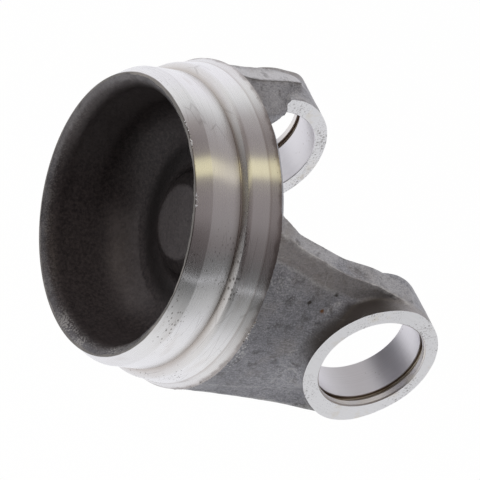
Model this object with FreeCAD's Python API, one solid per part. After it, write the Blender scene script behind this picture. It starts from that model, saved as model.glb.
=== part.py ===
import FreeCAD, Part
import os
from FreeCAD import Vector
from math import asin, cos, sin

os.makedirs("parts", exist_ok=True)

# Weld-on driveshaft yoke, one forging with turned and milled faces.
# Origin: the joint centre, where the barrel axis meets the bearing bore axis.
# +X runs from the mouth to the ears, Y is the bore axis, +Z is up. All sizes in mm.

# Tube joint
tube_od = 76.2
tube_wall = 2.1
seat_r = tube_od / 2 - tube_wall

# Bearing bores, with the grooves for the retaining rings
bore_r = 13.5
cap_span = 81.8
ring_thick = 1.6
groove_depth = 1.1
lip_width = 1.6
groove_in = cap_span / 2
groove_out = groove_in + ring_thick
ear_out = groove_out + lip_width
ear_in = 30.8
lip_chamfer = 0.3
bore_chamfer = 0.35

# Barrel: positions along the axis are measured from the mouth rim
mouth_to_bore = 55.4
rim_r = 34.1
seat_from = 3.7
seat_to = 11.9
relief_depth = 0.25
relief_width = 0.5
step_run = 0.75
step_r = 37.5
bevel_run = 0.85
shoulder_r = tube_od / 2
shoulder_from = seat_to + step_run + bevel_run
shoulder_to = 18.2
shoulder_rise = 0.65
flare_to = 20.5
flare_r = 39.9

# Back of the barrel, as forged, between the arms
back_edge_drop = 0.8
back_edge_run = 0.6
back_round = 3.0
back_bow = 0.3
saddle_r = 34.8
saddle_top = 28.0

# Cup, as forged
lip_land = 0.35
lip_depth = 4.6
lip_r = 30.75
lip_bow = 0.65
wall_r = 29.2
wall_to = 12.5
wall_bow = 1.8
floor_at = 22.2
floor_r = 19.6
valley_r = 15.6
foot_at = 20.2
foot_r = 12.4
foot_bow = 0.4
boss_at = 17.8
boss_r = 9.1
boss_edge = 0.5

# Ears: the wall round the bore is thinner at the tip
ear_wall = 4.1
tip_wall = 3.2
ear_r = bore_r + ear_wall
ear_corner_x = 3.8
ear_corner_z = 17.5
ear_corner_y = 36.0
neck_from = -0.8
skirt_run = 3.0
skirt_r = ear_r + skirt_run
skirt_low = 40.5
skirt_wall = 0.4
skirt_bow = 0.45
roof_lean = 1.2
mill_edge_x = -1.9
mill_nose_r = 0.4
mill_half_z = 30.0

# How far a cutting shape runs past the metal, and the play for picking out edges
past = 10.0
near = 0.01

# Arm sections, one for each station along X.
# Each gives (y, z) of the facet's edge, the parting ridge, the inner corner and the edge
# of the inner face, after the facet's height on the mid plane.
arm_stations = (
    (-40.0, 39.9, (34.9, 20.8), (31.2, 26.4), (27.8, 29.6), (8.0, 30.0)),
    (-34.6, 39.9, (34.7, 20.4), (31.0, 25.9), (27.4, 28.9), (14.0, 24.0)),
    (-28.3, 40.0, (35.9, 18.9), (33.3, 23.8), (29.4, 25.2), (20.6, 19.5)),
    (-20.0, 40.3, (37.8, 16.4), (35.9, 21.9), (30.9, 23.0), (24.9, 17.0)),
    (-12.0, 40.8, (38.5, 15.3), (37.5, 20.9), (31.8, 21.6), (26.0, 16.0)),
    (-6.2, 41.2, (39.3, 14.8), (39.2, 19.9), (33.4, 20.9), (26.8, 15.4)),
    (-1.2, 41.6, (40.1, 14.1), (40.6, 18.8), (35.0, 20.1), (30.5, 15.3)),
    (ear_corner_x, 42.0, (41.0, 13.6), (41.8, 17.5), (36.6, 18.8), (31.4, 14.6)),
)
arm_end = (10.0, 42.0, (41.4, 11.0), (42.0, 13.8), (37.5, 13.9), (32.0, 11.0))

axis_x = Vector(1, 0, 0)
axis_y = Vector(0, 1, 0)
centre = Vector(0, 0, 0)


def at(depth, radius):
    # A point of a turned profile, from its depth behind the mouth rim and its radius
    return Vector(depth - mouth_to_bore, 0, radius)


def line(a, b):
    return Part.LineSegment(a, b).toShape()


def arc(a, b, c):
    return Part.Arc(a, b, c).toShape()


def bowed(a, b, bow):
    # An arc between two points, its middle moved off the chord
    return arc(a, (a + b) * 0.5 + bow, b)


def chain(points):
    return [line(a, b) for a, b in zip(points, points[1:])]


def outward(solid):
    # The same solid with its faces pointing outwards
    return solid if solid.Volume > 0 else solid.reversed()


def turned(edges, axis=axis_x):
    # A closed profile turned about the barrel axis, or another
    return outward(Part.Face(Part.Wire(edges)).revolve(centre, axis, 360))


def machined_profile():
    # Lead-in, tube seat, relief, step, weld bevel, shoulder and flare, rim first
    relief_r = seat_r - relief_depth
    return [
        at(0, rim_r),
        at(seat_from, seat_r),
        at(seat_to - relief_width, seat_r),
        at(seat_to, relief_r),
        at(seat_to + step_run, step_r),
        at(shoulder_from, shoulder_r),
        at(shoulder_to, shoulder_r + shoulder_rise),
        at(flare_to, flare_r),
    ]


def barrel():
    # The barrel as a solid plug, closed behind by the low dome of the saddle
    outer = machined_profile()
    edge = at(flare_to + back_edge_run, flare_r - back_edge_drop)
    low = at(flare_to + back_edge_run + back_round, saddle_r)
    rise = saddle_top - flare_to - back_edge_run - back_round
    dome_r = (saddle_r ** 2 + rise ** 2) / (2 * rise)
    half = asin(saddle_r / dome_r) / 2
    mid = at(saddle_top - dome_r * (1 - cos(half)), dome_r * sin(half))
    top = at(saddle_top, 0)
    edges = chain(outer + [edge])
    edges += [bowed(edge, low, Vector(back_bow, 0, back_bow)), arc(low, mid, top)]
    edges += chain([top, at(0, 0), outer[0]])
    return turned(edges)


def cup():
    # The forged hollow: a rounded lip, a drafted wall, a valley and a flat-topped boss
    rim = at(0, rim_r - lip_land)
    lip = at(lip_depth, lip_r)
    wall = at(wall_to, wall_r)
    floor = at(floor_at, floor_r)
    valley = at(floor_at, valley_r)
    foot = at(foot_at, foot_r)
    crown = at(boss_at + boss_edge, boss_r + boss_edge)
    top = at(boss_at, boss_r)
    mouth = at(-past, rim_r - lip_land)
    edges = [line(mouth, rim), bowed(rim, lip, Vector(-lip_bow, 0, -lip_bow)), line(lip, wall)]
    edges += [bowed(wall, floor, Vector(wall_bow, 0, wall_bow)), line(floor, valley)]
    edges += [bowed(valley, foot, Vector(foot_bow, 0, -foot_bow))]
    edges += chain([foot, crown, top, at(boss_at, 0), at(-past, 0), mouth])
    return turned(edges)


def turning_cut():
    # Everything outside the turned profile, with the flare carried on outwards
    flare = machined_profile()
    slope = (flare_r - shoulder_r - shoulder_rise) / (flare_to - shoulder_to)
    far_r = flare_r + past
    out = at(flare_to + past / slope, far_r)
    edges = chain(flare + [out, at(-past, far_r), at(-past, rim_r), flare[0]])
    return turned(edges)


def section(station):
    # One closed section of the arm: a crowned outer facet and seven flats
    x, crown, facet, ridge, corner, inner = station
    half = [facet, ridge, corner, inner]
    upper = [Vector(x, y, z) for y, z in half]
    lower = [Vector(x, y, -z) for y, z in reversed(half)]
    ring = upper + lower
    edges = [arc(ring[-1], Vector(x, crown, 0), ring[0])]
    edges += chain(ring)
    return Part.Wire(edges)


def arm():
    body = Part.makeLoft([section(s) for s in arm_stations], True, False)
    tip = Part.makeLoft([section(arm_stations[-1]), section(arm_end)], True, True)
    return outward(body).fuse(outward(tip))


def ear_plate(y_from, y_to):
    # Between two heights on the bore axis: a flatter nose and a round back, which meet in a
    # corner on each side where the arm's flank runs out
    tip = Vector(bore_r + tip_wall, y_from, 0)
    back = Vector(-ear_r, y_from, 0)
    upper, lower = [Vector(ear_corner_x, y_from, z) for z in (ear_corner_z, -ear_corner_z)]
    edges = [arc(upper, tip, lower), arc(lower, back, upper)]
    return outward(Part.Face(Part.Wire(edges)).extrude(Vector(0, y_to - y_from, 0)))


def ear():
    # The inner half is round about the bore, without the corners, and stands on the milled face
    low = ear_in - mill_nose_r
    height = ear_corner_y - low
    neck = Part.makeCylinder(ear_r, height, Vector(0, low, 0), axis_y)
    room = Part.makeBox(2 * ear_r, height, 2 * ear_r, Vector(neck_from, low, -ear_r))
    inner = ear_plate(low, ear_corner_y).common(neck).common(room)
    return inner.fuse(ear_plate(ear_corner_y, ear_out))


def skirt():
    # The hollow fillet from the milled ear face down to the arm's outer facet
    top = Vector(ear_r, ear_out, 0)
    wall = Vector(ear_r, ear_out - skirt_wall, 0)
    foot = Vector(skirt_r, skirt_low, 0)
    base = Vector(skirt_r, ear_in, 0)
    inside = Vector(0, ear_in, 0)
    peak = Vector(0, ear_out, 0)
    edges = [line(top, wall), bowed(wall, foot, Vector(-skirt_bow, -skirt_bow, 0))]
    edges += chain([foot, base, inside, peak, top])
    return turned(edges, axis_y).common(roof())


def roof():
    # The space over the outer facet, its sides leaning in from the facet's edges
    wires = []
    for x, crown, facet, ridge, corner, inner in arm_stations:
        y, z = facet
        lean = (ear_out - y) * roof_lean
        ring = [Vector(x, ear_in, z), Vector(x, y, z), Vector(x, ear_out, z - lean)]
        ring += [Vector(x, p.y, -p.z) for p in reversed(ring)]
        wires.append(Part.makePolygon(ring + ring[:1]))
    return outward(Part.makeLoft(wires, True, True))


def bore_cut():
    # One straight bore through both ears, broken edges and a ring groove in each
    length = 2 * (ear_out + past)
    cut = Part.makeCylinder(bore_r, length, Vector(0, -length / 2, 0), axis_y)
    cut = cut.fuse(Part.makeCone(bore_r + bore_chamfer, bore_r, bore_chamfer, Vector(0, ear_in, 0), axis_y))
    big = bore_r + lip_chamfer
    start = Vector(0, ear_out - lip_chamfer, 0)
    cut = cut.fuse(Part.makeCone(bore_r, big, lip_chamfer, start, axis_y))
    groove = Part.makeCylinder(bore_r + groove_depth, ring_thick, Vector(0, groove_in, 0), axis_y)
    return cut.fuse(groove)


def mill_cut():
    # The straight cut between the ears, with the cutter's nose radius along its end
    block = Part.makeBox(
        ear_r + past - mill_edge_x,
        2 * ear_in,
        2 * mill_half_z,
        Vector(mill_edge_x, -ear_in, -mill_half_z),
    )
    nose = [e for e in block.Edges if e.BoundBox.XMax < mill_edge_x + near and e.BoundBox.YLength < near]
    return block.makeFillet(mill_nose_r, nose)


def yoke():
    one = arm().cut(turning_cut()).fuse(ear()).fuse(skirt())
    one = one.cut(bore_cut())
    other = outward(one.mirror(centre, axis_y))
    body = barrel().fuse(one).fuse(other).cut(cup()).cut(mill_cut())
    return body.removeSplitter()


shape = yoke()
print("solids", len(shape.Solids), "valid", shape.isValid(), "volume_mm3", round(shape.Volume))
shape.exportStep("parts/weld_yoke.step")
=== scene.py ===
# Weld-on driveshaft yoke. A forged blank is made first, then the cuts that machining makes in it.
import bpy
import bmesh
import math
import numpy as np
from mathutils import Matrix, Vector, noise


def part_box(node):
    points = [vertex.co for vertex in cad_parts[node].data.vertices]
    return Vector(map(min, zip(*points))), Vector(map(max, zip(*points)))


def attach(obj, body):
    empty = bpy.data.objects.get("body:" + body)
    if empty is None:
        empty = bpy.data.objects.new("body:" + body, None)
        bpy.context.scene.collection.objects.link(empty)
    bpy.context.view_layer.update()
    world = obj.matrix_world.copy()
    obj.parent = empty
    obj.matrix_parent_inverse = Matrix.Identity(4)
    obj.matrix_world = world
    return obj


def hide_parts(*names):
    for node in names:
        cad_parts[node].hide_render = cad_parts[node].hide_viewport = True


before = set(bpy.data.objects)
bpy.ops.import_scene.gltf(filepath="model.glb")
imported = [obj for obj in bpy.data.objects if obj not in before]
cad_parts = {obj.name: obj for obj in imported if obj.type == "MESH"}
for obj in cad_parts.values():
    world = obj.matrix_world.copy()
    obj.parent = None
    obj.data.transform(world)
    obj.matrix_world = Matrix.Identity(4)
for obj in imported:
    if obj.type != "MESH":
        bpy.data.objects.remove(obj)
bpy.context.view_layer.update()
mm = 0.001


# Small helpers

def newObject(name, mesh):
    made = bpy.data.objects.new(name, mesh)
    bpy.context.scene.collection.objects.link(made)
    return made


def meshFrom(name, points, faces):
    mesh = bpy.data.meshes.new(name)
    mesh.from_pydata([tuple(p) for p in points], [], faces)
    work = bmesh.new()
    work.from_mesh(mesh)
    bmesh.ops.remove_doubles(work, verts=work.verts, dist=1e-7)
    bmesh.ops.recalc_face_normals(work, faces=work.faces)
    work.to_mesh(mesh)
    work.free()
    return newObject(name, mesh)


def turned(name, outline, steps, axis="X"):
    # A closed outline of (along, radius) in mm, turned about X or Y
    points = []
    for k in range(steps):
        turn = 2 * math.pi * k / steps
        across, up = math.cos(turn), math.sin(turn)
        for along, radius in outline:
            side, height = radius * across, radius * up
            points.append((along, side, height) if axis == "X" else (side, along, height))
    count = len(outline)
    faces = []
    for k in range(steps):
        here, there = k * count, (k + 1) % steps * count
        for i in range(count):
            j = (i + 1) % count
            faces.append((here + i, here + j, there + j, there + i))
    points = [Vector(p) * mm for p in points]
    made = meshFrom(name, points, faces)
    work = bmesh.new()
    work.from_mesh(made.data)
    bmesh.ops.dissolve_degenerate(work, dist=1e-8, edges=work.edges)
    work.to_mesh(made.data)
    work.free()
    return made


def block(name, low, high):
    # A box between two corners in mm
    work = bmesh.new()
    bmesh.ops.create_cube(work, size=1.0)
    for v in work.verts:
        v.co = Vector([(a + b) / 2 + c * (b - a) for a, b, c in zip(low, high, v.co)]) * mm
    mesh = bpy.data.meshes.new(name)
    work.to_mesh(mesh)
    work.free()
    return newObject(name, mesh)


def prism(name, outline, low, high, along="Y"):
    # A flat outline in mm made solid along Y, where it is (x, z), or along Z, where it is (x, y)
    count = len(outline)
    points = [Vector((a, at, b) if along == "Y" else (a, b, at)) * mm for at in (low, high) for a, b in outline]
    faces = [tuple(range(count)), tuple(range(2 * count - 1, count - 1, -1))]
    faces += [(i, (i + 1) % count, count + (i + 1) % count, count + i) for i in range(count)]
    return meshFrom(name, points, faces)


def baked(body):
    # The object's mesh with its modifiers made real
    graph = bpy.context.evaluated_depsgraph_get()
    mesh = bpy.data.meshes.new_from_object(body.evaluated_get(graph), preserve_all_data_layers=True,
                                           depsgraph=graph)
    body.modifiers.clear()
    old = body.data
    body.data = mesh
    bpy.data.meshes.remove(old)


def joined(body, others):
    # All the meshes in one, overlaps and all
    work = bmesh.new()
    work.from_mesh(body.data)
    for other in others:
        work.from_mesh(other.data)
    work.to_mesh(body.data)
    work.free()
    for other in others:
        bpy.data.objects.remove(other)


def cut(body, tool, material):
    # The tool's shape taken out of the body, its faces in the tool's material
    tool.data.materials.append(material)
    step = body.modifiers.new("cut", "BOOLEAN")
    step.operation = "DIFFERENCE"
    step.solver = "EXACT"
    step.material_mode = "TRANSFER"
    step.object = tool
    baked(body)
    bpy.data.objects.remove(tool)


# Materials

def addNode(tree, kind, **settings):
    made = tree.nodes.new(kind)
    for key, value in settings.items():
        setattr(made, key, value)
    return made


def join(tree, start, end):
    tree.links.new(start, end)


def newGroup(name, inputs, outputs, kind="NodeSocketFloat"):
    # A shared effect: each input is a number with its start value, or a vector where that is None
    tree = bpy.data.node_groups.new(name, "ShaderNodeTree")
    for label, value in inputs.items():
        if value is None:
            tree.interface.new_socket(label, in_out="INPUT", socket_type="NodeSocketVector")
        else:
            made = tree.interface.new_socket(label, in_out="INPUT", socket_type="NodeSocketFloat")
            made.default_value = value
    for label in outputs:
        tree.interface.new_socket(label, in_out="OUTPUT", socket_type=kind)
    return tree, addNode(tree, "NodeGroupInput"), addNode(tree, "NodeGroupOutput")


def math2(tree, operation, a, b=None):
    made = addNode(tree, "ShaderNodeMath", operation=operation)
    for k, value in enumerate((a, b)):
        if value is None:
            continue
        if isinstance(value, (int, float)):
            made.inputs[k].default_value = value
        else:
            join(tree, value, made.inputs[k])
    return made.outputs[0]


def times(tree, a, b):
    return math2(tree, "MULTIPLY", a, b)


def plus(tree, a, b):
    return math2(tree, "ADD", a, b)


def minus(tree, a, b):
    return math2(tree, "SUBTRACT", a, b)


def larger(tree, a, b):
    return math2(tree, "MAXIMUM", a, b)


def lengthOf(tree, a, b):
    return math2(tree, "SQRT", plus(tree, times(tree, a, a), times(tree, b, b)))


def maskOf(tree, name):
    return addNode(tree, "ShaderNodeAttribute", attribute_name=name).outputs["Fac"]


def placeOf(tree, kind="Object"):
    # The place on the piece, whole and as its three parts
    where = addNode(tree, "ShaderNodeTexCoord").outputs[kind]
    parts = addNode(tree, "ShaderNodeSeparateXYZ")
    join(tree, where, parts.inputs[0])
    return where, parts.outputs


def scaledPlace(tree, given):
    # A group's Where with each axis scaled by its Squeeze
    made = addNode(tree, "ShaderNodeVectorMath", operation="MULTIPLY")
    join(tree, given.outputs["Where"], made.inputs[0])
    join(tree, given.outputs["Squeeze"], made.inputs[1])
    return made.outputs[0]


def ramp(tree, factor, stops):
    made = addNode(tree, "ShaderNodeValToRGB")
    made.color_ramp.interpolation = "LINEAR"
    points = made.color_ramp.elements
    while len(points) < len(stops):
        points.new(0.5)
    for point, (place, colour) in zip(points, stops):
        point.position = place
        point.color = (*colour, 1.0) if isinstance(colour, tuple) else (colour, colour, colour, 1.0)
    join(tree, factor, made.inputs[0])
    return made.outputs[0]


def noiseOf(tree, where, scale, detail=3.0, rough=0.55, dims="3D"):
    made = addNode(tree, "ShaderNodeTexNoise", noise_dimensions=dims)
    made.inputs["Scale"].default_value = scale
    made.inputs["Detail"].default_value = detail
    made.inputs["Roughness"].default_value = rough
    join(tree, where, made.inputs["W" if dims == "1D" else "Vector"])
    return made.outputs[0]


def speckGroup():
    # Small dark pits, some crowded and some far apart
    tree, given, out = newGroup("specks", {"Where": None, "Scale": 400.0, "Share": 0.5}, ["Mask"])
    cells = addNode(tree, "ShaderNodeTexVoronoi")
    join(tree, given.outputs["Where"], cells.inputs["Vector"])
    join(tree, given.outputs["Scale"], cells.inputs["Scale"])
    spread = noiseOf(tree, given.outputs["Where"], 90.0, 2.0)
    reach = times(tree, minus(tree, spread, given.outputs["Share"]), 1.6)
    near = minus(tree, reach, cells.outputs["Distance"])
    mask = math2(tree, "SMOOTH_MIN", larger(tree, times(tree, near, 6.0), 0.0), 1.0)
    join(tree, mask, out.inputs["Mask"])
    return tree


def markGroup():
    # Fine lines left by a cutting tool, from one coordinate across them
    tree, given, out = newGroup("tool marks", {"Across": 0.0, "Where": None}, ["Height", "Tone"])
    fine = noiseOf(tree, given.outputs["Across"], 3200.0, 2.0, 0.7, "1D")
    broad = noiseOf(tree, given.outputs["Across"], 520.0, 2.0, 0.6, "1D")
    patch = noiseOf(tree, given.outputs["Where"], 120.0, 4.0)
    height = plus(tree, times(tree, fine, 0.6), times(tree, broad, 0.6))
    join(tree, height, out.inputs["Height"])
    mixed = plus(tree, times(tree, fine, 0.5), times(tree, patch, 0.5))
    join(tree, mixed, out.inputs["Tone"])
    return tree


def stretchGroup():
    # The place on the piece with each axis scaled
    tree, given, out = newGroup("stretch", {"Where": None, "Squeeze": None}, ["Place"], "NodeSocketVector")
    join(tree, scaledPlace(tree, given), out.inputs["Place"])
    return tree


def streakGroup():
    # Soft noise drawn out where Squeeze is small
    tree, given, out = newGroup("streaks", {"Where": None, "Squeeze": None, "Scale": 300.0, "Low": 0.4,
                                            "High": 0.6}, ["Mask"])
    soft = addNode(tree, "ShaderNodeTexNoise")
    join(tree, scaledPlace(tree, given), soft.inputs["Vector"])
    join(tree, given.outputs["Scale"], soft.inputs["Scale"])
    soft.inputs["Detail"].default_value = 3.0
    limits = addNode(tree, "ShaderNodeMapRange", interpolation_type="SMOOTHSTEP")
    join(tree, soft.outputs[0], limits.inputs["Value"])
    join(tree, given.outputs["Low"], limits.inputs["From Min"])
    join(tree, given.outputs["High"], limits.inputs["From Max"])
    join(tree, limits.outputs["Result"], out.inputs["Mask"])
    return tree


def scratchGroup():
    # Thin lines between long cells, broken off where a second noise is low
    tree, given, out = newGroup("scratches", {"Where": None, "Squeeze": None, "Scale": 90.0,
                                              "Share": 0.5}, ["Mask"])
    cells = addNode(tree, "ShaderNodeTexVoronoi", feature="DISTANCE_TO_EDGE")
    join(tree, scaledPlace(tree, given), cells.inputs["Vector"])
    join(tree, given.outputs["Scale"], cells.inputs["Scale"])
    line = minus(tree, 1.0, times(tree, cells.outputs["Distance"], 40.0))
    there = minus(tree, noiseOf(tree, given.outputs["Where"], 70.0, 3.0), given.outputs["Share"])
    kept = math2(tree, "MINIMUM", larger(tree, times(tree, there, 12.0), 0.0), 1.0)
    join(tree, times(tree, larger(tree, line, 0.0), kept), out.inputs["Mask"])
    return tree


speckTree = speckGroup()
markTree = markGroup()
stretchTree = stretchGroup()
streakTree = streakGroup()
scratchTree = scratchGroup()


def newMaterial(name):
    made = bpy.data.materials.new(name)
    made.use_nodes = True
    tree = made.node_tree
    return made, tree, tree.nodes["Principled BSDF"]


def placed(tree, group, **values):
    made = addNode(tree, "ShaderNodeGroup", node_tree=group)
    for key, value in values.items():
        if isinstance(value, (int, float, tuple)):
            made.inputs[key].default_value = value
        else:
            join(tree, value, made.inputs[key])
    return made


def shaped(tree, value, low, high, start=0.0, end=1.0):
    # A soft step of a value between two limits
    made = addNode(tree, "ShaderNodeMapRange", interpolation_type="SMOOTHSTEP")
    join(tree, value, made.inputs[0])
    for k, number in enumerate((low, high, start, end)):
        made.inputs[k + 1].default_value = number
    return made.outputs[0]


def spotOf(tree, where, place, size):
    # 1 at a place on the piece, 0 at the given distance from it, both in mm
    away = addNode(tree, "ShaderNodeVectorMath", operation="DISTANCE")
    join(tree, where, away.inputs[0])
    away.inputs[1].default_value = tuple(c * mm for c in place)
    uneven = times(tree, noiseOf(tree, where, 900.0, 2.0), size * mm)
    return shaped(tree, plus(tree, away.outputs["Value"], uneven), size * mm, size * 0.6 * mm)


def mixColour(tree, factor, a, b, blend="MIX"):
    made = addNode(tree, "ShaderNodeMix", data_type="RGBA", blend_type=blend)
    if isinstance(factor, (int, float)):
        made.inputs[0].default_value = factor
    else:
        join(tree, factor, made.inputs[0])
    for socket, value in ((made.inputs[6], a), (made.inputs[7], b)):
        if isinstance(value, tuple):
            socket.default_value = (*value, 1.0)
        else:
            join(tree, value, socket)
    return made.outputs[2]


def bump(tree, height, distance):
    made = addNode(tree, "ShaderNodeBump")
    made.inputs["Distance"].default_value = distance
    made.inputs["Strength"].default_value = 1.0
    join(tree, height, made.inputs["Height"])
    return made.outputs[0]


turnedLook = {
    # the darker bands from 10.6 to 13.4 mm, in the groove, and round 18.2 mm, in the flare's corner, are painted shade
    "bands": (  # depth behind the rim in mm, and the colour from there on
        (0.0, (0.16, 0.15, 0.14)), (0.12, (0.24, 0.22, 0.21)), (0.22, (0.84, 0.835, 0.84)),
        (3.6, (0.84, 0.835, 0.84)), (3.8, (0.90, 0.895, 0.905)), (9.6, (0.90, 0.895, 0.905)),
        (10.6, (0.80, 0.79, 0.79)), (11.3, (0.74, 0.72, 0.71)), (11.75, (0.58, 0.54, 0.51)),
        (12.05, (0.58, 0.54, 0.51)), (12.5, (0.75, 0.73, 0.72)), (13.4, (0.83, 0.82, 0.82)),
        (13.8, (0.90, 0.895, 0.905)), (17.8, (0.89, 0.885, 0.89)), (18.2, (0.66, 0.63, 0.62)),
        (18.6, (0.80, 0.79, 0.79)), (19.4, (0.80, 0.79, 0.79)), (20.4, (0.66, 0.63, 0.62)),
    ),
    "mouthX": -55.4,
    "length": 21.0,
    "rough": 0.27,
    "stretch": 0.9,
    "stain": (0.55, 0.50, 0.46),
    "dirt": (0.34, 0.31, 0.30),
    "dirtFrom": 20.9,
}


def turnedMaterial(look):
    made, tree, shader = newMaterial("turned steel")
    where, parts = placeOf(tree)
    radius = lengthOf(tree, parts[1], parts[2])
    across = plus(tree, parts[0], times(tree, radius, 0.7))
    marks = placed(tree, markTree, Across=across, Where=where)
    wander = times(tree, minus(tree, noiseOf(tree, where, 160.0, 3.0), 0.5), 0.3 * mm)
    along = plus(tree, minus(tree, parts[0], look["mouthX"] * mm), wander)
    bands = [(depth / look["length"], colour) for depth, colour in look["bands"]]
    # the bands' colours along the barrel, with painted shade in the groove and in the flare's corner
    base = ramp(tree, math2(tree, "DIVIDE", along, look["length"] * mm), bands)
    tone = ramp(tree, marks.outputs["Tone"], [(0.3, 0.95), (0.7, 1.0)])
    base = mixColour(tree, 1.0, base, tone, "MULTIPLY")
    stain = placed(tree, streakTree, Where=where, Squeeze=(3.0, 0.6, 0.6), Scale=110.0, Low=0.52, High=0.78)
    base = mixColour(tree, times(tree, stain.outputs["Mask"], 0.30), base, look["stain"])
    lines = placed(tree, scratchTree, Where=where, Squeeze=(1.0, 0.12, 0.12), Scale=420.0, Share=0.50)
    drawn = placed(tree, stretchTree, Where=where, Squeeze=(1.0, 0.45, 0.45)).outputs["Place"]
    pits = placed(tree, speckTree, Where=drawn, Scale=1700.0, Share=0.46).outputs["Mask"]
    dark = larger(tree, times(tree, pits, 0.7), times(tree, lines.outputs["Mask"], 0.25))
    base = mixColour(tree, dark, base, (0.13, 0.11, 0.10))
    uneven = times(tree, noiseOf(tree, where, 300.0, 3.0), 2.4 * mm)
    dirty = shaped(tree, plus(tree, along, uneven), look["dirtFrom"] * mm, (look["dirtFrom"] + 0.8) * mm)
    base = mixColour(tree, times(tree, dirty, 0.75), base, look["dirt"])
    join(tree, base, shader.inputs["Base Color"])
    shader.inputs["Metallic"].default_value = 1.0
    shader.inputs["Anisotropic"].default_value = look["stretch"]
    shader.inputs["Anisotropic Rotation"].default_value = 0.25
    rough = plus(tree, times(tree, marks.outputs["Tone"], 0.10), look["rough"] - 0.05)
    join(tree, rough, shader.inputs["Roughness"])
    tangent = addNode(tree, "ShaderNodeTangent", direction_type="RADIAL", axis="X")
    join(tree, tangent.outputs[0], shader.inputs["Tangent"])
    height = minus(tree, marks.outputs["Height"], times(tree, dark, 2.0))
    join(tree, bump(tree, height, 0.000005), shader.inputs["Normal"])
    return made


milledLook = {
    "colour": (0.98, 0.98, 0.99),
    "stain": (0.84, 0.79, 0.70),
    "rough": 0.42,
    "centre": (0.02, 0.0, 0.06),
}


def milledMaterial(look):
    made, tree, shader = newMaterial("milled steel")
    where = placeOf(tree)[0]
    away = addNode(tree, "ShaderNodeVectorMath", operation="DISTANCE")
    join(tree, where, away.inputs[0])
    away.inputs[1].default_value = look["centre"]
    marks = placed(tree, markTree, Across=away.outputs["Value"], Where=where)
    tone = ramp(tree, marks.outputs["Tone"], [(0.3, 0.92), (0.7, 1.0)])
    base = mixColour(tree, 1.0, look["colour"], tone, "MULTIPLY")
    stain = ramp(tree, noiseOf(tree, where, 240.0, 4.0), [(0.58, 0.0), (0.72, 0.6)])
    base = mixColour(tree, stain, base, look["stain"])
    coarse = placed(tree, speckTree, Where=where, Scale=1000.0, Share=0.37).outputs["Mask"]
    small = placed(tree, speckTree, Where=where, Scale=1900.0, Share=0.30).outputs["Mask"]
    pits = larger(tree, coarse, times(tree, small, 0.5))
    lines = placed(tree, scratchTree, Where=where, Squeeze=(0.3, 1.0, 1.0), Scale=260.0, Share=0.55).outputs["Mask"]
    dark = larger(tree, times(tree, pits, 0.55), times(tree, lines, 0.3))
    base = mixColour(tree, dark, base, (0.20, 0.18, 0.16))
    join(tree, base, shader.inputs["Base Color"])
    shader.inputs["Metallic"].default_value = 1.0
    rough = plus(tree, times(tree, marks.outputs["Tone"], 0.15), look["rough"] - 0.07)
    join(tree, rough, shader.inputs["Roughness"])
    height = minus(tree, marks.outputs["Height"], times(tree, dark, 3.0))
    join(tree, bump(tree, height, 0.00002), shader.inputs["Normal"])
    return made


boredLook = {
    "colour": (0.825, 0.81, 0.84),
    # brown here is painted shade on the groove's inner wall
    "brown": (0.20, 0.15, 0.12),
    "floor": (0.62, 0.56, 0.48),
    "streak": (0.84, 0.80, 0.72),
    "lip": (0.80, 0.765, 0.72),
    "grooveAt": (13.7, 14.3, 14.5),
    "lipAt": (42.3, 42.6),
    "rough": 0.40,
}


def boredMaterial(look):
    made, tree, shader = newMaterial("bored steel")
    where, parts = placeOf(tree)
    marks = placed(tree, markTree, Across=parts[1], Where=where)
    tone = ramp(tree, marks.outputs["Tone"], [(0.3, 0.90), (0.7, 1.0)])
    base = mixColour(tree, 1.0, look["colour"], tone, "MULTIPLY")
    pits = placed(tree, speckTree, Where=where, Scale=900.0, Share=0.53).outputs["Mask"]
    base = mixColour(tree, times(tree, pits, 0.55), base, (0.20, 0.16, 0.12))
    radius = lengthOf(tree, parts[0], parts[2])
    out = math2(tree, "ABSOLUTE", parts[1])
    lipFrom, lipTo = look["lipAt"]
    stained = ramp(tree, noiseOf(tree, where, 260.0, 3.0), [(0.4, 0.3), (0.62, 1.0)])
    lip = times(tree, shaped(tree, out, lipFrom * mm, lipTo * mm), stained)
    base = mixColour(tree, lip, base, look["lip"])
    wall, floor, full = [r * mm for r in look["grooveAt"]]
    dirt = placed(tree, streakTree, Where=where, Squeeze=(0.8, 2.0, 0.8), Scale=190.0, Low=0.42, High=0.62)
    bottom = mixColour(tree, dirt.outputs["Mask"], look["floor"], look["streak"])
    # the groove: painted shade on its wall, and a brownish floor with streaks
    groove = mixColour(tree, shaped(tree, radius, floor, full), look["brown"], bottom)
    base = mixColour(tree, shaped(tree, radius, wall, wall + 0.15 * mm), base, groove)
    join(tree, base, shader.inputs["Base Color"])
    shader.inputs["Metallic"].default_value = 1.0
    rough = plus(tree, times(tree, marks.outputs["Tone"], 0.12), look["rough"] - 0.06)
    join(tree, rough, shader.inputs["Roughness"])
    join(tree, bump(tree, marks.outputs["Height"], 0.000015), shader.inputs["Normal"])
    return made


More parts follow.
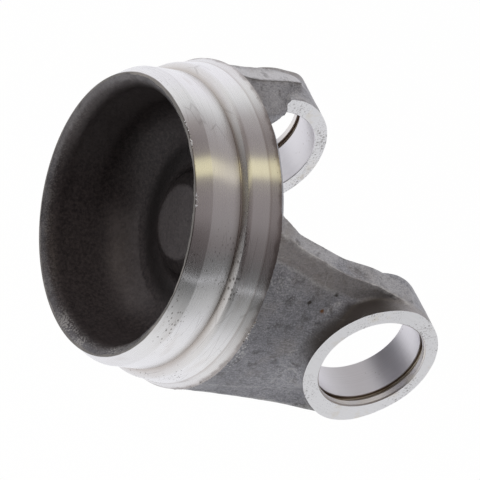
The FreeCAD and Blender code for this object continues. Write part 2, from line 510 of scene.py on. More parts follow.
forgedLook = {
    "dark": (0.15, 0.152, 0.172),
    "light": (0.44, 0.442, 0.475),
    "brown": (0.285, 0.260, 0.247),
    # pale is painted light: the cup's lit wall, its top and the boss, and the arms' flanks, the back arm's top and its
    # inner face, where light falls
    "pale": (0.60, 0.595, 0.61),
    "shade": (0.050, 0.043, 0.040),
    # worn is the colour of worn scale and light specks, and of the painted highlight on the ridges
    "worn": (0.60, 0.60, 0.61),
    # the cup's inside is painted near-black as shade, lighter by noise in places
    "cup": (0.023, 0.019, 0.020),
    "cupLight": (0.056, 0.046, 0.046),
    "cupPale": (0.112, 0.099, 0.100),
    # the valley round the boss is painted shade
    "valley": (0.018, 0.015, 0.015),
    # chipped is the colour of chipped scale on the cup's lip and also a painted highlight where the rounded lip
    # catches light
    "chipped": (0.26, 0.25, 0.245),
    "rust": (0.16, 0.075, 0.035),
    "rustAt": (-18.4, -39.3, 10.8),
    # dark spots painted as the shade in small dents
    "notches": ((-16.1, -38.3, 15.4), (-22.4, -38.7, 12.3), (-33.0, -38.2, -9.3), (-7.0, 33.0, 17.2)),
    "metal": 0.5,
    "rough": 0.46,
}


def forgedMaterial(look):
    made, tree, shader = newMaterial("forged scale")
    where = placeOf(tree)[0]
    broad = noiseOf(tree, where, 55.0, 4.0, 0.6)
    grain = noiseOf(tree, where, 2400.0, 3.0, 0.7)
    drawn = placed(tree, streakTree, Where=where, Squeeze=(0.3, 1.0, 1.0), Scale=2600.0, Low=0.3, High=0.7)
    tone = plus(tree, times(tree, grain, 0.70), times(tree, drawn.outputs["Mask"], 0.10))
    tone = plus(tree, tone, times(tree, broad, 0.35))
    base = mixColour(tree, shaped(tree, tone, 0.38, 0.84), look["dark"], look["light"])
    # the pale mask is painted light
    pale = maskOf(tree, "pale")
    grainy = ramp(tree, grain, [(0.3, 0.65), (0.65, 1.0)])
    base = mixColour(tree, times(tree, pale, grainy), base, look["pale"])
    # a painted shade line along the back arm's roof edge
    seam = maskOf(tree, "seam")
    base = mixColour(tree, seam, base, look["shade"])
    browned = ramp(tree, noiseOf(tree, where, 140.0, 3.0), [(0.52, 0.0), (0.7, 0.35)])
    base = mixColour(tree, browned, base, look["brown"])
    blotch = ramp(tree, noiseOf(tree, where, 330.0, 4.0, 0.65), [(0.54, 0.0), (0.68, 0.55)])
    base = mixColour(tree, blotch, base, look["shade"])
    strip = maskOf(tree, "strip")
    grainy = ramp(tree, grain, [(0.35, 0.35), (0.65, 0.75)])
    base = mixColour(tree, times(tree, strip, grainy), base, look["brown"])
    # painted shade in the fillet round the ear
    fillet = maskOf(tree, "fillet")
    base = mixColour(tree, fillet, base, look["shade"])
    flecks = placed(tree, speckTree, Where=where, Scale=1500.0, Share=0.45).outputs["Mask"]
    border = maskOf(tree, "border")
    crowded = placed(tree, speckTree, Where=where, Scale=1300.0, Share=0.30).outputs["Mask"]
    crowd = times(tree, border, crowded)
    lines = placed(tree, scratchTree, Where=where, Squeeze=(0.2, 1.0, 1.0), Scale=520.0, Share=0.50).outputs["Mask"]
    flecks = larger(tree, flecks, lines)
    light = larger(tree, times(tree, flecks, 0.45), times(tree, crowd, 0.8))
    base = mixColour(tree, light, base, look["worn"])
    # painted shade in small dents
    for place in look["notches"]:
        base = mixColour(tree, spotOf(tree, where, place, 1.7), base, look["shade"])
    base = mixColour(tree, spotOf(tree, where, look["rustAt"], 1.6), base, look["rust"])
    # inside the cup the scale is painted dark as shade, with painted light where its wall, top and boss are lit and
    # painted shade in the valley
    inCup = maskOf(tree, "cup")
    scale = mixColour(tree, ramp(tree, noiseOf(tree, where, 1300.0, 4.0, 0.75), [(0.38, 0.0), (0.62, 1.0)]),
                      look["cup"], look["cupLight"])
    # painted light on the cup's lit wall, its top and the boss
    patchy = ramp(tree, noiseOf(tree, where, 700.0, 4.0, 0.7), [(0.3, 0.5), (0.65, 1.0)])
    scale = mixColour(tree, times(tree, pale, patchy), scale, look["cupPale"])
    # painted shade in the valley round the boss
    valley = maskOf(tree, "valley")
    scale = mixColour(tree, valley, scale, look["valley"])
    base = mixColour(tree, inCup, base, scale)
    # the lip: chips, and a painted highlight, strongest on one side
    lip = maskOf(tree, "lip")
    chipped = placed(tree, speckTree, Where=where, Scale=2100.0, Share=0.20).outputs["Mask"]
    base = mixColour(tree, times(tree, lip, chipped), base, look["chipped"])
    # lighter ridges and facet edges: partly worn scale, partly a painted highlight along the edges
    ridge = maskOf(tree, "ridge")
    broken = ramp(tree, noiseOf(tree, where, 420.0, 3.0), [(0.38, 0.15), (0.6, 1.0)])
    wear = times(tree, ridge, times(tree, broken, ramp(tree, grain, [(0.35, 0.4), (0.6, 1.0)])))
    base = mixColour(tree, wear, base, look["worn"])
    join(tree, base, shader.inputs["Base Color"])
    shader.inputs["Metallic"].default_value = look["metal"]
    rough = plus(tree, times(tree, grain, 0.25), look["rough"] - 0.12)
    join(tree, rough, shader.inputs["Roughness"])
    medium = noiseOf(tree, where, 800.0, 3.0, 0.6)
    height = plus(tree, times(tree, grain, 0.5), medium)
    join(tree, bump(tree, height, 0.00008), shader.inputs["Normal"])
    return made


turnedSteel = turnedMaterial(turnedLook)
milledSteel = milledMaterial(milledLook)
boredSteel = boredMaterial(boredLook)
forgedScale = forgedMaterial(forgedLook)
print("materials made")


# The forged blank, with stock where it is machined later

blank = {
    "voxel": 0.55,
    "smoothing": 1,
    "barrelStock": ((-57.4, 33.95), (-57.4, 41.2), (-36.1, 41.2), (-35.5, 40.7), (-34.3, 39.1), (-34.9, 36.5),
                    (-54.0, 33.95)),
    "earRound": 17.6,
    "earTip": 16.7,
    "earCorner": (3.8, 17.5),
    "earStock": (42.0, 46.0),
    "innerStock": (28.9, 32.0),
    "innerFrom": -1.2,
    "plug": 14.3,
    "plugInto": 0.15,
    "wallX": (-20.0, -12.0, -6.2, -1.2, 3.8),
    "wallY": (24.9, 26.0, 26.8, 30.5, 31.4),
    "steps": 96,
    "swell": ((0.020, 0.20), (0.006, 0.08), (0.0022, 0.045)),
    "seed": (3.1, 7.7, 1.3),
    "sink": 0.05,
    "rimSwell": ((0.0035, 0.22), (0.0011, 0.16)),
    "rimBand": (-53.6, -54.8),
    "rimInside": 34.6,
    "backRim": {"fromY": (39.8, 42.6), "fromZ": (8.0, 14.0), "toX": (9.0, 3.0), "drop": 1.25},
    "lowRidge": {"aroundX": -2.0, "reach": 13.0, "fromY": (-33.0, -38.0), "fromZ": (-10.0, -16.0), "drop": 0.7},
    "armTop": {"aroundX": -14.0, "reach": 8.0, "fromY": (-20.0, -26.0), "fromZ": (17.0, 20.5), "drop": 0.9},
    "innerLift": {"fromX": (-7.0, -3.0), "fromZ": (17.0, 15.0), "facing": (-0.3, -0.7), "lift": 0.4},
}


def earOutline(radius, tip, corner, steps):
    # A round back and a flatter nose that meet at the corner points
    x, z = corner
    noseX = (x * x + z * z - tip * tip) / (2 * (x - tip))
    backX = (x * x + z * z - radius * radius) / (2 * (x + radius))
    ring = []
    for k in range(steps):
        turn = 2 * math.pi * k / steps
        along, up = math.cos(turn), math.sin(turn)
        middle, reach = (noseX, tip - noseX) if along * z > abs(up) * x else (backX, radius + backX)
        away = middle * along + math.sqrt(reach ** 2 - (middle * up) ** 2)
        ring.append((away * along, away * up))
    return ring


def borePlug(given, side):
    # Fills the bore from the arm's sloping inner wall outwards
    steps = given["steps"]
    turns = [2 * math.pi * k / steps for k in range(steps)]
    ring = [(given["plug"] * math.cos(t), given["plug"] * math.sin(t)) for t in turns]
    depth = [float(np.interp(x, given["wallX"], given["wallY"])) + given["plugInto"] for x, z in ring]
    points = [Vector((x, side * y, z)) * mm for (x, z), y in zip(ring, depth)]
    points += [Vector((x, side * given["earStock"][1], z)) * mm for x, z in ring]
    faces = [(k, k + 1, steps - k - 1, (steps - k) % steps) for k in range(1, steps // 2 - 1)]
    faces += [(0, 1, steps - 1), (steps // 2 - 1, steps // 2, steps // 2 + 1), tuple(range(steps, 2 * steps))]
    faces += [(k, (k + 1) % steps, steps + (k + 1) % steps, steps + k) for k in range(steps)]
    return meshFrom("bore plug", points, faces)


def forgedBlank(given):
    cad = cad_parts["weld_yoke"]
    body = newObject("yoke", cad.data.copy())
    work = bmesh.new()
    work.from_mesh(body.data)
    bmesh.ops.remove_doubles(work, verts=work.verts, dist=1e-6)
    work.to_mesh(body.data)
    work.free()
    body.data.materials.clear()
    stock = [turned("barrel stock", given["barrelStock"], given["steps"])]
    outline = earOutline(given["earRound"], given["earTip"], given["earCorner"], given["steps"])
    inner = [(x, z) for x, z in outline if x > given["innerFrom"]]
    for side in (-1, 1):
        stock.append(prism("ear stock", outline, side * given["earStock"][0], side * given["earStock"][1]))
        stock.append(prism("inner stock", inner, side * given["innerStock"][0], side * given["innerStock"][1]))
        stock.append(borePlug(given, side))
    joined(body, stock)
    shape = body.modifiers.new("voxels", "REMESH")
    shape.mode = "VOXEL"
    shape.voxel_size = given["voxel"] * mm
    soft = body.modifiers.new("soft edges", "SMOOTH")
    soft.factor = 0.5
    soft.iterations = given["smoothing"]
    baked(body)
    return body


def between(values, low, high):
    # 0 at low, 1 at high, with a soft start and end; low may be the larger
    share = np.clip((values - low) / (high - low), 0, 1)
    return share * share * (3 - 2 * share)


def pointsOf(mesh):
    count = len(mesh.vertices)
    place = np.zeros(count * 3)
    mesh.vertices.foreach_get("co", place)
    normal = np.zeros(count * 3, np.float32)
    mesh.vertex_normals.foreach_get("vector", normal)
    return place.reshape(-1, 3), normal.reshape(-1, 3)


def bumps(place, layers, seed):
    # Soft noise of several sizes at each point: size in metres, height in mm
    total = np.zeros(len(place))
    for size, height in layers:
        total += np.array([noise.noise(Vector(p) / size + seed) for p in place]) * height
    return total


armEdges = {
    # stations along the arm in mm, and (y, z) there of the outer facet's edge, the parting ridge and the
    # roof's inner edge; then how far the points beside a line are pulled, from which x on, and at most
    "x": (-34.6, -28.3, -20.0, -12.0, -6.2, -1.2, 3.8),
    "facet": ((34.7, 20.4), (35.9, 18.9), (37.8, 16.4), (38.5, 15.3), (39.3, 14.8), (40.1, 14.1), (41.0, 13.6)),
    "ridge": ((31.0, 25.9), (33.3, 23.8), (35.9, 21.9), (37.5, 20.9), (39.2, 19.9), (40.6, 18.8), (41.8, 17.5)),
    "roof": ((27.4, 28.9), (29.4, 25.2), (30.9, 23.0), (31.8, 21.6), (33.4, 20.9), (35.0, 20.1), (36.6, 18.8)),
    "pull": (0.95, 0.40),
    "pullFrom": (-34.0, -32.5),
    "most": 0.8,
}


def edgeGap(place, name):
    # How far each point (in mm) is from an edge of the arms, and where that edge is
    x, y, z = place.T
    away = [np.interp(x, armEdges["x"], [edge[k] for edge in armEdges[name]]) for k in (0, 1)]
    there = np.stack((x, np.copysign(away[0], y), np.copysign(away[1], z)), axis=1)
    gap = np.linalg.norm(there - place, axis=1)
    gap[(x < armEdges["x"][0]) | (x > armEdges["x"][-1])] = 99.0
    return gap, there


def sharpen(body):
    # The voxels round off the arms' ridges, so the points beside them go back to their lines
    mesh = body.data
    place = pointsOf(mesh)[0] / mm
    for name in ("ridge", "roof"):
        gap, there = edgeGap(place, name)
        share = between(gap, *armEdges["pull"]) * between(place[:, 0], *armEdges["pullFrom"]) * armEdges["most"]
        place = place + (there - place) * share[:, None]
    mesh.vertices.foreach_set("co", (place * mm).ravel())
    mesh.update()


def roughen(body, given):
    # The forging's unevenness, pushed in and out along the normals
    mesh = body.data
    place, normal = pointsOf(mesh)
    seed = Vector(given["seed"])
    push = bumps(place, given["swell"], seed) - given["sink"]
    x, y, z = place.T / mm
    inside = np.hypot(y, z) < given["rimInside"]
    nearRim = between(x, *given["rimBand"]) * inside
    at = nearRim > 0
    push[at] += bumps(place[at], given["rimSwell"], seed) * nearRim[at]
    place = place + normal * push[:, None] * mm
    rim = given["backRim"]
    share = between(y, *rim["fromY"]) * between(z, *rim["fromZ"]) * between(x, *rim["toX"])
    place[:, 2] -= share * rim["drop"] * mm
    for low in (given["lowRidge"], given["armTop"]):
        share = between(y, *low["fromY"]) * between(z, *low["fromZ"])
        share = share * between(np.abs(x - low["aroundX"]), low["reach"], 0)
        place[:, 2] -= share * low["drop"] * mm
    lift = given["innerLift"]
    facing = normal[:, 1] * np.sign(y)
    share = between(x, *lift["fromX"]) * between(np.abs(z), *lift["fromZ"]) * between(facing, *lift["facing"])
    place[:, 1] -= np.sign(y) * share * lift["lift"] * mm
    mesh.vertices.foreach_set("co", place.ravel())
    mesh.update()


yoke = forgedBlank(blank)
print("blank", len(yoke.data.polygons), "faces")
sharpen(yoke)
roughen(yoke, blank)
yoke.data.materials.append(forgedScale)


# The cuts

turning = {
    # depth behind the rim and radius, in mm
    "outline": ((0.0, 34.1), (3.7, 36.0), (11.4, 36.0), (11.9, 35.75), (12.65, 37.5), (13.5, 38.1), (18.2, 38.75),
                (20.5, 39.9)),
    "mouthX": -55.4,
    "slope": 0.5,
    "past": 10.0,
    "steps": 360,
    "break": 0.12,
}


def brokenEdges(outline, size):
    # Each corner of an outline taken off by a small flat
    made = [outline[0]]
    for before, here, after in zip(outline, outline[1:], outline[2:]):
        for other in (before, after):
            gap = math.dist(here, other)
            share = min(size / gap, 0.4)
            made.append(tuple(h + (o - h) * share for h, o in zip(here, other)))
    return made + [outline[-1]]


def turningTool(given):
    profile = brokenEdges(given["outline"], given["break"])
    mouth, past = given["mouthX"], given["past"]
    points = [(mouth + depth, radius) for depth, radius in profile]
    lastX, lastR = points[-1]
    points.append((lastX + past / given["slope"], lastR + past))
    points += [(mouth - past, lastR + past), (mouth - past, 0.0), (mouth, 0.0)]
    return turned("turning tool", points, given["steps"])


boring = {
    "radius": 13.5, "groove": 14.6, "grooveIn": 40.9, "grooveOut": 42.5, "face": 44.1, "lip": 0.3,
    "inner": 30.8, "chamfer": 0.15, "past": 52.0, "steps": 192,
}


def boringTool(given):
    radius, groove = given["radius"], given["groove"]
    half = [(given["inner"], radius + given["chamfer"]), (given["inner"] + given["chamfer"], radius),
            (given["grooveIn"], radius), (given["grooveIn"], groove), (given["grooveOut"], groove),
            (given["grooveOut"], radius), (given["face"] - given["lip"], radius),
            (given["face"] + given["lip"], radius + 2 * given["lip"]), (given["past"], radius + 2 * given["lip"]),
            (given["past"], 0.0)]
    other = [(-y, r) for y, r in reversed(half)]
    return turned("boring tool", half + other, given["steps"], axis="Y")


milling = {"face": 44.1, "inner": 30.8, "edgeX": -1.6, "nose": 0.25, "far": 60.0, "tip": 30.0, "noseSteps": 6}


def faceTools(given):
    far = given["far"]
    pair = [block("face tool", (-30, side * given["face"] if side > 0 else -far, -far),
                  (far, far if side > 0 else side * given["face"], far)) for side in (-1, 1)]
    joined(pair[0], pair[1:])
    return pair[0]


def slotTool(given):
    # The cutter between the ears: an outline in X and Y with rounded corners, run right through along Z
    nose, inner, edge = given["nose"], given["inner"], given["edgeX"]
    turns = [math.pi / 2 * k / given["noseSteps"] for k in range(given["noseSteps"] + 1)]
    corner = [(edge + nose - nose * math.cos(t), inner - nose + nose * math.sin(t)) for t in turns]
    outline = corner + [(given["tip"], inner), (given["tip"], -inner)] + [(x, -y) for x, y in reversed(corner)]
    return prism("slot tool", outline, -given["tip"], given["tip"], along="Z")


cut(yoke, turningTool(turning), turnedSteel)
print("turned", len(yoke.data.polygons))
cut(yoke, faceTools(milling), milledSteel)
cut(yoke, slotTool(milling), milledSteel)
print("milled", len(yoke.data.polygons))
cut(yoke, boringTool(boring), boredSteel)
print("bored", len(yoke.data.polygons))


marking = {
    "ridgeFrom": 0.07,
    "ridgeGain": 7.0,
    "ridgeLine": (0.75, 0.25),
    # lighter lines along the ridge and the facet's edge: partly wear, partly painted highlight
    "ridgeWear": 0.8,
    "creaseLine": (0.6, 0.2),
    "creaseWear": 0.45,
    "plainTo": (22.5, 26.0),
    "cupTo": (-31.6, -32.4),
    "cupRim": (-55.3, -53.9),
    "cupEdge": 0.70,
    "cupInside": 34.5,
    "armFrom": -35.2,
    "armTo": 6.0,
    "strip": 0.9,
    "border": {"x": (-30.5, -34.0), "z": (4.0, -2.0), "outside": 30.0},
    # where the fillet round the ear is painted as shade
    "filletIn": (16.6, 17.0),
    "filletOut": (20.8, 17.6),
    "filletZ": (-9.0, 5.0),
    "filletX": (3.0, -7.0),
    "filletY": (38.5, 40.0),
    # shares of painted light on the arms' flanks, the larger on the back arm's top
    "flank": 0.30,
    "backTop": 0.75,
    # painted shade along the back arm's roof edge, and how close to the edge it lies
    "seam": 0.75,
    "seamLine": (0.6, 0.2),
    # the lit wall, the top near the rim and the boss inside the cup are painted as lit
    "lit": {"angle": (-28.0, -45.0, -88.0, -106.0), "radius": (20.5, 24.0, 27.0, 30.0), "share": 0.62,
            "toX": -34.0},
    "high": {"angle": (-30.0, 0.0, 60.0, 80.0), "x": (-41.0, -45.0), "share": 0.5},
    "boss": {"radius": (14.8, 14.0), "share": 0.20},
    # the back arm's inner face is painted lighter as lit
    "backInner": {"y": (18.0, 22.0), "fromX": -33.0, "share": 0.14},
    # where the valley round the boss is painted as shade
    "valley": {"radius": (15.0, 17.5, 19.5, 22.0), "x": (-36.0, -31.0), "share": 0.8},
    "lip": {"x": (-52.6, -55.0), "inside": 34.6, "angle": (-150.0, -135.0, -98.0, -85.0), "else": 0.25},
}


def writeMask(mesh, name, values):
    layer = mesh.attributes.new(name, "FLOAT", "POINT")
    layer.data.foreach_set("value", np.clip(values, 0, 1).astype(np.float32))


def markRidges(body, given):
    # How far each point stands out from its neighbours, for the wear and painted highlight on the edges
    mesh = body.data
    count = len(mesh.vertices)
    place, normal = pointsOf(mesh)
    ends = np.zeros(len(mesh.edges) * 2, np.int32)
    mesh.edges.foreach_get("vertices", ends)
    ends = ends.reshape(-1, 2)
    total = np.zeros(count)
    number = np.zeros(count)
    for a, b in ((0, 1), (1, 0)):
        away = place[ends[:, b]] - place[ends[:, a]]
        away /= np.maximum(np.linalg.norm(away, axis=1, keepdims=True), 1e-9)
        np.add.at(total, ends[:, a], -(away * normal[ends[:, a]]).sum(1))
        np.add.at(number, ends[:, a], 1)
    bend = total / np.maximum(number, 1)
    for _ in range(2):
        total = bend.copy()
        number = np.ones(count)
        for a, b in ((0, 1), (1, 0)):
            np.add.at(total, ends[:, a], bend[ends[:, b]])
            np.add.at(number, ends[:, a], 1)
        bend = total / number
    gap = edgeGap(place / mm, "ridge")[0]
    crease = edgeGap(place / mm, "facet")[0]
    line = np.maximum(between(gap, *given["ridgeLine"]) * given["ridgeWear"],
                      between(crease, *given["creaseLine"]) * given["creaseWear"])
    x, y, z = place.T / mm
    bend = bend * between(np.hypot(x, z), *given["plainTo"])
    writeMask(mesh, "ridge", np.maximum(line, (bend - given["ridgeFrom"]) * given["ridgeGain"]))


def span(values, start, full, last, end):
    # 1 from full to last and 0 outside start and end; the four may run down as well as up
    return between(values, start, full) * between(values, end, last)


def markZones(body, given):
    # Where the scale differs: the cup, painted dark as shade, with painted light on its lit wall, top and boss,
    # painted shade in its valley, and its lip with chips and a painted highlight; the arms' strips and border; painted
    # light on the flanks; painted shade along the roof's inner edge and in the fillet round the ears
    mesh = body.data
    place = pointsOf(mesh)[0]
    x, y, z = place.T / mm
    fromAxis = np.hypot(y, z)
    onArm = x > given["armFrom"]
    # the cup's inside, where the painted shade goes, a little weaker at the rim
    cup = between(x, *given["cupTo"]) * (fromAxis < given["cupInside"])
    writeMask(mesh, "cup", cup * (given["cupEdge"] + (1 - given["cupEdge"]) * between(x, *given["cupRim"])))
    facetZ = np.interp(x, armEdges["x"], [edge[1] for edge in armEdges["facet"]])
    ridgeY = np.interp(x, armEdges["x"], [edge[0] for edge in armEdges["ridge"]])
    strip = between(np.abs(z), facetZ - 0.4, facetZ + 0.6) * between(np.abs(y), ridgeY - 0.5, ridgeY)
    writeMask(mesh, "strip", strip * given["strip"] * onArm * (z > 0))
    lit, high, valley, lip = (given[name] for name in ("lit", "high", "valley", "lip"))
    border, inner = given["border"], given["backInner"]
    edge = between(x, *border["x"]) * between(z, *border["z"]) * (np.abs(y) > border["outside"])
    writeMask(mesh, "border", edge * onArm)
    ridgeZ = np.interp(x, armEdges["x"], [edge[1] for edge in armEdges["ridge"]])
    roofY = np.interp(x, armEdges["x"], [edge[0] for edge in armEdges["roof"]])
    # painted light on the arms' flanks, the more on the back arm's top
    flank = between(np.abs(z), ridgeZ - 0.3, ridgeZ + 0.2) * between(np.abs(y), roofY - 0.5, roofY - 0.1)
    flank = flank * onArm * (x < given["armTo"])
    # painted shade along the back arm's roof's inner edge
    seam = between(edgeGap(place / mm, "roof")[0], *given["seamLine"]) * (y > 0) * (z > 0)
    writeMask(mesh, "seam", seam * given["seam"])
    flank = flank * np.where((y > 0) & (z > 0), given["backTop"], given["flank"])
    # painted light in the cup on its lit wall, its top near the rim and the boss; outside it, painted light on the
    # flanks and the back arm's inner face
    turn = np.degrees(np.arctan2(z, y))
    glow = span(turn, *lit["angle"]) * span(fromAxis, *lit["radius"]) * (x < lit["toX"]) * lit["share"]
    glow = np.maximum(glow, span(turn, *high["angle"]) * between(x, *high["x"]) * high["share"])
    glow = np.maximum(glow, between(fromAxis, *given["boss"]["radius"]) * given["boss"]["share"])
    flank = np.maximum(flank, between(y, *inner["y"]) * (z > 0) * (x > inner["fromX"]) * inner["share"])
    writeMask(mesh, "pale", np.where(cup > 0.5, glow, flank))
    # painted shade in the valley between the boss and the wall
    dip = span(fromAxis, *valley["radius"]) * valley["share"] * (x > valley["x"][0]) * (x < valley["x"][1])
    # the lip's chips and painted highlight, strongest over one range of angles
    edge = between(x, *lip["x"]) * (fromAxis < lip["inside"])
    writeMask(mesh, "lip", edge * (lip["else"] + (1 - lip["else"]) * span(turn, *lip["angle"])))
    writeMask(mesh, "valley", dip)
    # painted shade in the fillet between the outer facet and the ear
    fromBore = np.hypot(x, z)
    fillet = between(fromBore, *given["filletIn"]) * between(fromBore, *given["filletOut"])
    fillet = fillet * between(z, *given["filletZ"]) * between(x, *given["filletX"])
    writeMask(mesh, "fillet", fillet * between(np.abs(y), *given["filletY"]))


def keepInside(body, low, high):
    # The points that the forging's unevenness carried past the solid's box go back to it
    mesh = body.data
    place = np.clip(pointsOf(mesh)[0], np.array(low), np.array(high))
    mesh.vertices.foreach_set("co", place.ravel())
    mesh.update()


burrKeys = ("Angle", "Spread", "Place", "Radius", "Size", "Count", "Seed")
burring = {
    # angle round X and its spread in degrees, place along X, radius and size in mm, how many, and the seed
    "rim top": (103.0, 7.0, -55.2, 34.2, 0.55, 20, 3),
    "rim side": (131.0, 2.5, -55.1, 34.25, 0.85, 10, 8),
    "rim low": (-118.0, 24.0, -55.2, 33.9, 0.35, 26, 5),
    "flare side": (176.0, 6.0, -34.7, 40.1, 0.55, 22, 11),
    "flare low": (-150.0, 18.0, -34.8, 40.0, 0.28, 16, 14),
}


def burrTree():
    # Small chips of metal scattered along a piece of a circle round X
    tree = bpy.data.node_groups.new("burrs", "GeometryNodeTree")
    kinds = {**dict.fromkeys(("Angle", "Spread", "Place", "Radius", "Size"), "Float"), "Count": "Int",
             "Seed": "Int", "Material": "Material"}
    for label, kind in kinds.items():
        tree.interface.new_socket(label, in_out="INPUT", socket_type="NodeSocket" + kind)
    tree.interface.new_socket("Geometry", in_out="OUTPUT", socket_type="NodeSocketGeometry")
    given, out = addNode(tree, "NodeGroupInput"), addNode(tree, "NodeGroupOutput")
    scatter = addNode(tree, "FunctionNodeRandomValue", data_type="FLOAT")
    scatter.inputs[2].default_value = -1.0
    join(tree, given.outputs["Seed"], scatter.inputs["Seed"])
    swing = times(tree, scatter.outputs[1], given.outputs["Spread"])
    angle = math2(tree, "RADIANS", plus(tree, given.outputs["Angle"], swing))
    reach = times(tree, given.outputs["Radius"], mm)
    spot = addNode(tree, "ShaderNodeCombineXYZ")
    join(tree, times(tree, given.outputs["Place"], mm), spot.inputs[0])
    join(tree, times(tree, math2(tree, "COSINE", angle), reach), spot.inputs[1])
    join(tree, times(tree, math2(tree, "SINE", angle), reach), spot.inputs[2])
    spots = addNode(tree, "GeometryNodePoints")
    join(tree, given.outputs["Count"], spots.inputs["Count"])
    join(tree, spot.outputs[0], spots.inputs["Position"])
    size = times(tree, given.outputs["Size"], mm)
    chip = addNode(tree, "GeometryNodeMeshCone")
    chip.inputs["Vertices"].default_value = 5
    chip.inputs["Radius Top"].default_value = 0.0
    join(tree, times(tree, size, 0.5), chip.inputs["Radius Bottom"])
    join(tree, size, chip.inputs["Depth"])
    turn = addNode(tree, "FunctionNodeRandomValue", data_type="FLOAT_VECTOR")
    turn.inputs[1].default_value = (2 * math.pi, 2 * math.pi, 2 * math.pi)
    join(tree, given.outputs["Seed"], turn.inputs["Seed"])
    grow = addNode(tree, "FunctionNodeRandomValue", data_type="FLOAT_VECTOR")
    grow.inputs[0].default_value = (0.3, 0.3, 0.4)
    grow.inputs[1].default_value = (1.2, 1.2, 1.5)
    join(tree, given.outputs["Seed"], grow.inputs["Seed"])
    copies = addNode(tree, "GeometryNodeInstanceOnPoints")
    join(tree, spots.outputs[0], copies.inputs["Points"])
    join(tree, chip.outputs[0], copies.inputs["Instance"])
    join(tree, turn.outputs[0], copies.inputs["Rotation"])
    join(tree, grow.outputs[0], copies.inputs["Scale"])
    real = addNode(tree, "GeometryNodeRealizeInstances")
    join(tree, copies.outputs[0], real.inputs[0])
    dress = addNode(tree, "GeometryNodeSetMaterial")
    join(tree, real.outputs[0], dress.inputs["Geometry"])
    join(tree, given.outputs["Material"], dress.inputs["Material"])
    join(tree, dress.outputs[0], out.inputs[0])
    return tree


def addBurrs(body, places, material):
    tree = burrTree()
    sockets = {item.name: item.identifier for item in tree.interface.items_tree if item.in_out == "INPUT"}
    slot = body.data.materials.find(material.name)
    made = []
    for name, given in places.items():
        chips = newObject(name, bpy.data.meshes.new(name))
        step = chips.modifiers.new("burrs", "NODES")
        step.node_group = tree
        for label, value in zip(burrKeys + ("Material",), given + (material,)):
            step[sockets[label]] = value
        baked(chips)
        chips.data.polygons.foreach_set("material_index", [slot] * len(chips.data.polygons))
        made.append(chips)
    joined(body, made)


addBurrs(yoke, burring, milledSteel)
print("burrs on", len(yoke.data.polygons))
keepInside(yoke, *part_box("weld_yoke"))
markRidges(yoke, marking)
markZones(yoke, marking)
yoke.data.polygons.foreach_set("use_smooth", np.ones(len(yoke.data.polygons), bool))
yoke.data.set_sharp_from_angle(angle=math.radians(28))
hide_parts("weld_yoke")
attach(yoke, "root")
print("yoke", len(yoke.data.polygons), "faces", [m.name for m in yoke.data.materials])


# Floor, light and camera

stage = {
    "floorZ": -0.16,
    "floorSize": 12.0,
    "floorColour": (0.9, 0.9, 0.9),
    "glow": 0.975,
    # how bright the floor looks in the metal, against the distance in front of the part in m
    "earSide": ((-0.3, (0.96, 0.96, 1.0)), (-0.05, (0.93, 0.93, 0.97)), (0.1, (0.90, 0.90, 0.93)),
                (0.2, (0.82, 0.82, 0.85)), (0.36, 0.60), (0.75, 0.42), (2.0, 0.27)),
    "mouthSide": ((-0.3, (0.98, 0.98, 1.0)), (0.0, (0.97, 0.97, 1.0)), (0.1, 0.92), (0.2, 0.76), (0.36, 0.36),
                  (0.75, 0.16), (2.0, 0.09)),
    "reach": (-0.5, 2.0),
    "sides": (-0.25, 0.35),
}

# The studio round the part, as brightness against the angle round X: +Y is 0, +Z is 90.
# A white wall behind, a dark room above and in front, and a narrow warm panel overhead.
studio = {
    "from": -10,
    "sweep": 200,
    "earSide": ((-10, (0.97, 0.97, 1.02)), (0, (0.94, 0.93, 0.97)), (22, (0.88, 0.87, 0.91)), (36, 0.81), (47, 0.65),
                (60, (0.45, 0.43, 0.43)), (75, (0.37, 0.34, 0.34)), (98, (0.37, 0.34, 0.33)),
                (120, (0.32, 0.29, 0.29)), (140, (0.29, 0.27, 0.27)), (155, (0.21, 0.19, 0.19)), (168, 0.17),
                (181, 0.27), (190, 0.38)),
    "mouthSide": ((-10, (0.96, 0.96, 1.0)), (18, (0.94, 0.94, 0.97)), (32, 0.87), (44, 0.77), (53, (0.52, 0.50, 0.50)),
                  (62, (0.31, 0.27, 0.26)), (76, (0.22, 0.19, 0.19)), (98, (0.27, 0.24, 0.22)),
                  (120, (0.24, 0.21, 0.21)), (134, (0.23, 0.20, 0.20)), (146, (0.12, 0.10, 0.10)),
                  (170, (0.07, 0.06, 0.06)), (180, 0.08), (190, 0.16)),
    "sides": (-0.30, 0.50),
    "panel": (90.6, 92.2, 103.8, 105.4),
    "panelColours": ((0.90, 0.83, 0.56), (0.68, 0.63, 0.56)),
    "panelSides": (0.26, 0.44),
    "open": (-0.98, -0.55),
    "ahead": 0.35,
}


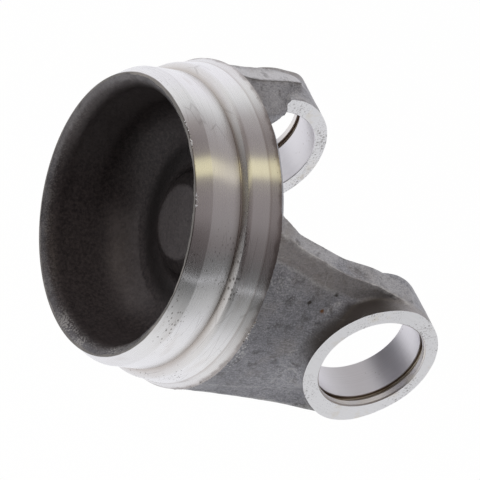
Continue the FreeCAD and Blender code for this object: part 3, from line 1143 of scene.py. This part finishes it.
def makeFloor(given):
    half = given["floorSize"] / 2
    corners = [(x, y, given["floorZ"]) for x, y in ((-half, -half), (half, -half), (half, half), (-half, half))]
    floor = meshFrom("floor", corners, [(0, 1, 2, 3)])
    made, tree, shader = newMaterial("pale floor")
    shader.inputs["Base Color"].default_value = (*given["floorColour"], 1.0)
    shader.inputs["Roughness"].default_value = 0.9
    parts = placeOf(tree)[1]
    near, far = given["reach"]
    ahead = math2(tree, "DIVIDE", minus(tree, times(tree, parts[1], -1.0), near), far - near)
    rows = [ramp(tree, ahead, [((d - near) / (far - near), c) for d, c in given[side]])
            for side in ("mouthSide", "earSide")]
    lit = mixColour(tree, shaped(tree, parts[0], *given["sides"]), *rows)
    seen = addNode(tree, "ShaderNodeLightPath")
    glow = addNode(tree, "ShaderNodeEmission")
    join(tree, mixColour(tree, seen.outputs["Is Camera Ray"], lit, (1.0, 1.0, 1.0)), glow.inputs[0])
    mirrored = larger(tree, seen.outputs["Is Glossy Ray"], seen.outputs["Is Transmission Ray"])
    seenAs = larger(tree, seen.outputs["Is Camera Ray"], mirrored)
    blend = addNode(tree, "ShaderNodeMixShader")
    join(tree, times(tree, seenAs, given["glow"]), blend.inputs[0])
    join(tree, shader.outputs[0], blend.inputs[1])
    join(tree, glow.outputs[0], blend.inputs[2])
    join(tree, blend.outputs[0], tree.nodes["Material Output"].inputs[0])
    floor.data.materials.append(made)


def makeWorld(given):
    world = bpy.data.worlds.new("studio")
    bpy.context.scene.world = world
    world.use_nodes = True
    tree = world.node_tree
    back = tree.nodes["Background"]
    parts = placeOf(tree, "Generated")[1]
    turn = math2(tree, "ARCTAN2", parts[2], parts[1])
    first, sweep = given["from"], given["sweep"]
    share = math2(tree, "DIVIDE", plus(tree, turn, math.radians(-first)), math.radians(sweep))
    rows = [ramp(tree, share, [((a - first) / sweep, c) for a, c in given[side]])
            for side in ("mouthSide", "earSide")]
    colour = mixColour(tree, shaped(tree, parts[0], *given["sides"]), *rows)
    start, full, last, end = [math.radians(a) for a in given["panel"]]
    panel = times(tree, shaped(tree, turn, start, full), shaped(tree, turn, end, last))
    warm = mixColour(tree, shaped(tree, parts[0], *given["panelSides"]), *given["panelColours"])
    colour = mixColour(tree, panel, colour, warm)
    fade = shaped(tree, parts[0], *given["open"], given["ahead"], 1.0)
    colour = mixColour(tree, 1.0, colour, ramp(tree, fade, [(0.0, 0.0), (1.0, 1.0)]), "MULTIPLY")
    seen = addNode(tree, "ShaderNodeLightPath")
    join(tree, mixColour(tree, seen.outputs["Is Camera Ray"], colour, (1.0, 1.0, 1.0)), back.inputs[0])


keyLamp = {
    "place": (-0.60, 0.05, 1.10),
    "aim": (0, 0, 0),
    "size": 0.6,
    "power": 13.0,
    "colour": (1.0, 0.99, 0.98),
}


def makeLamp(given):
    light = bpy.data.lights.new("key", "AREA")
    light.shape = "DISK"
    light.size = given["size"]
    light.energy = given["power"]
    light.color = given["colour"]
    made = newObject("key", light)
    made.location = given["place"]
    made.rotation_euler = (Vector(given["aim"]) - Vector(given["place"])).to_track_quat("-Z", "Y").to_euler()
    made.visible_glossy = False


camera = {
    # from the photograph: the view's place, its axes and a long lens
    "place": (-0.8669, -0.9918, 0.8087),
    "right": (0.8270, -0.3436, 0.4450),
    "up": (-0.1056, 0.6824, 0.7233),
    "lens": 477.6,
}


def makeCamera(given):
    made = newObject("camera", bpy.data.cameras.new("camera"))
    right, up = Vector(given["right"]).normalized(), Vector(given["up"]).normalized()
    back = right.cross(up)
    turn = Matrix((right, back.cross(right), back)).transposed()
    made.matrix_world = Matrix.Translation(given["place"]) @ turn.to_4x4()
    made.data.lens = given["lens"]
    made.data.clip_start = 0.05
    bpy.context.scene.camera = made


makeFloor(stage)
makeWorld(studio)
makeLamp(keyLamp)
makeCamera(camera)
bpy.context.scene.view_settings.view_transform = "Standard"
